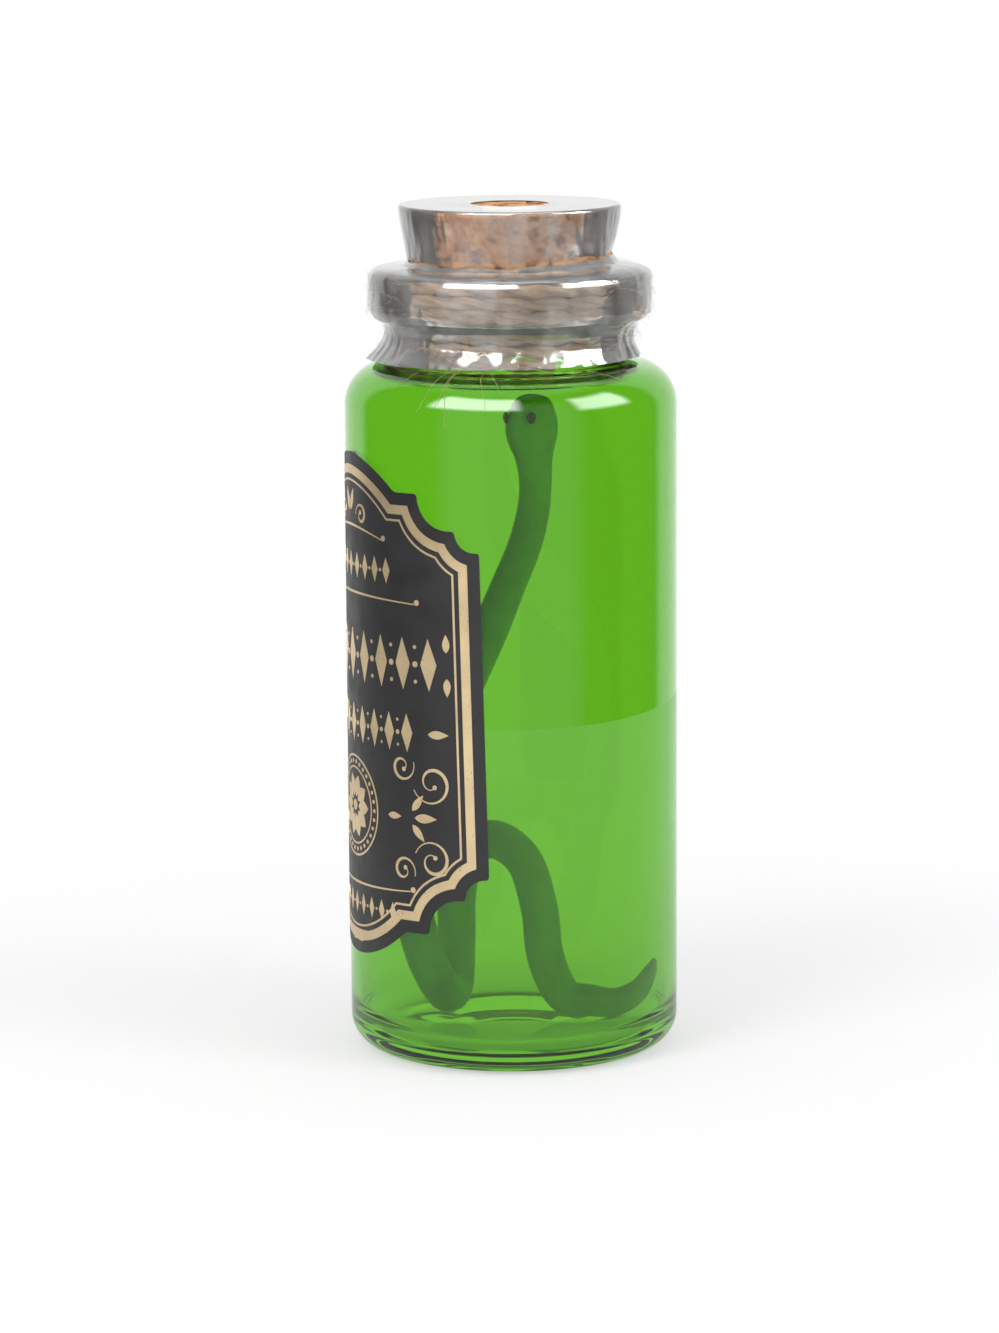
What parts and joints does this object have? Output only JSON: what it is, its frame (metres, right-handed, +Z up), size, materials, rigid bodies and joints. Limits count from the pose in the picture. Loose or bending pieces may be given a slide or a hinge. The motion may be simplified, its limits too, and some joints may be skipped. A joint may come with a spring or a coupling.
{
  "type": "corked glass vial",
  "caption": "Small glass vial with a cork stopper, jute twine round its neck and lip, clear shrink film, a wrapped paper label and a rubber snake inside.",
  "frame": {"origin": "middle of the base, on the surface that the vial stands on", "axes": "+Z up along the vial's axis, -Y towards the viewer of the front, label on the -X side"},
  "size_m": [0.0472, 0.047, 0.1207],
  "materials": {
    "green_glass": "clear glass under a translucent green lacquer, clear at the lip",
    "cork": "pressed granulated cork, matt",
    "jute": "two-ply twisted jute with loose fibres",
    "label_paper": "black coated paper with a gold foil frame",
    "clear_film": "clear shrink film with wrinkles",
    "snake_rubber": "soft translucent green rubber with a scale relief"
  },
  "bodies": {
    "vial": {"glass_vial": "green_glass", "lip_twine": "jute", "neck_twine": "jute", "label": "label_paper", "film_skirt": "clear_film"},
    "stopper": {"cork_stopper": "cork", "film_cap": "clear_film"},
    "snake": {"rubber_snake": "snake_rubber"}
  },
  "joints": [
    {"name": "cork_pull", "type": "slide", "parent": "vial", "child": "stopper", "axis": [0, 0, 1], "range_m": [0, 0.03]},
    {"name": "snake_turn", "type": "hinge", "parent": "vial", "child": "snake", "pos_m": [0, 0, 0.05], "axis": [0, 0, 1], "continuous": true}
  ]
}
